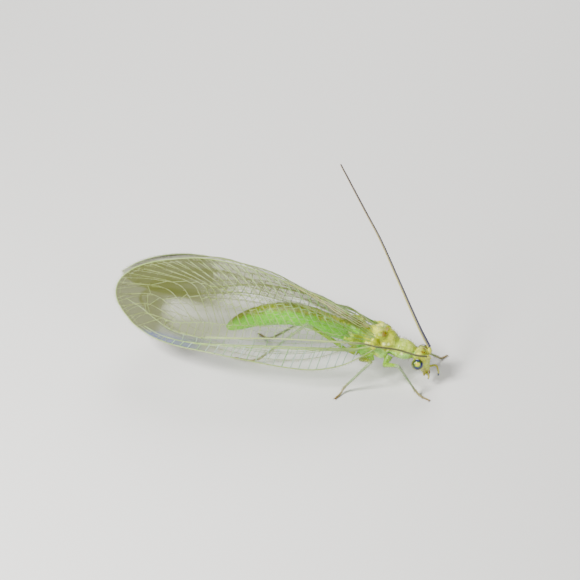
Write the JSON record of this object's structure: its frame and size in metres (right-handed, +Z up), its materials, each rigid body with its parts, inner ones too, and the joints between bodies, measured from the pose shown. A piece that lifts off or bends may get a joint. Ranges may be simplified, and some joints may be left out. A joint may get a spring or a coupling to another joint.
{
  "type": "green lacewing",
  "caption": "Still, life-size green lacewing standing on six feet, wings folded like a roof, one feeler raised and one swept back.",
  "frame": {"origin": "on the floor, under the middle of the space that the insect fills", "axes": "+X towards the head, +Y to the insect's left, +Z up"},
  "size_m": [0.0158, 0.0071, 0.0091],
  "materials": {
    "head": "satin, smooth cuticle",
    "eye": "gloss, golden green with a dark rim",
    "thorax": "satin, yellow-green cuticle",
    "abdomen": "satin, bright green cuticle",
    "leg": "satin, pale green, fine hairs",
    "feeler": "matte, fine rings",
    "wing": "clear, iridescent membrane with pale green veins"
  },
  "bodies": {
    "root": {"abdomen_front": "abdomen", "abdomen_middle": "abdomen", "abdomen_rear": "abdomen", "antenna_left_scape": "head", "antenna_left_thread_1": "feeler", "antenna_left_thread_2": "feeler", "antenna_left_thread_3": "feeler", "antenna_right_scape": "head", "antenna_right_thread_1": "feeler", "antenna_right_thread_2": "feeler", "antenna_right_thread_3": "feeler", "eye_left": "eye", "eye_right": "eye", "foreleg_left_coxa": "leg", "foreleg_left_femur": "leg", "foreleg_left_tarsus": "leg", "foreleg_left_tibia": "leg", "foreleg_right_coxa": "leg", "foreleg_right_femur": "leg", "foreleg_right_tarsus": "leg", "foreleg_right_tibia": "leg", "forewing_left": "wing", "forewing_right": "wing", "head": "head", "hindleg_left_coxa": "leg", "hindleg_left_femur": "leg", "hindleg_left_tarsus": "leg", "hindleg_left_tibia": "leg", "hindleg_right_coxa": "leg", "hindleg_right_femur": "leg", "hindleg_right_tarsus": "leg", "hindleg_right_tibia": "leg", "hindwing_left": "wing", "hindwing_right": "wing", "mesothorax": "thorax", "metathorax": "thorax", "midleg_left_coxa": "leg", "midleg_left_femur": "leg", "midleg_left_tarsus": "leg", "midleg_left_tibia": "leg", "midleg_right_coxa": "leg", "midleg_right_femur": "leg", "midleg_right_tarsus": "leg", "midleg_right_tibia": "leg", "mouthparts": "head", "palp_left": "head", "palp_right": "head", "prothorax": "thorax"}
  },
  "joints": []
}
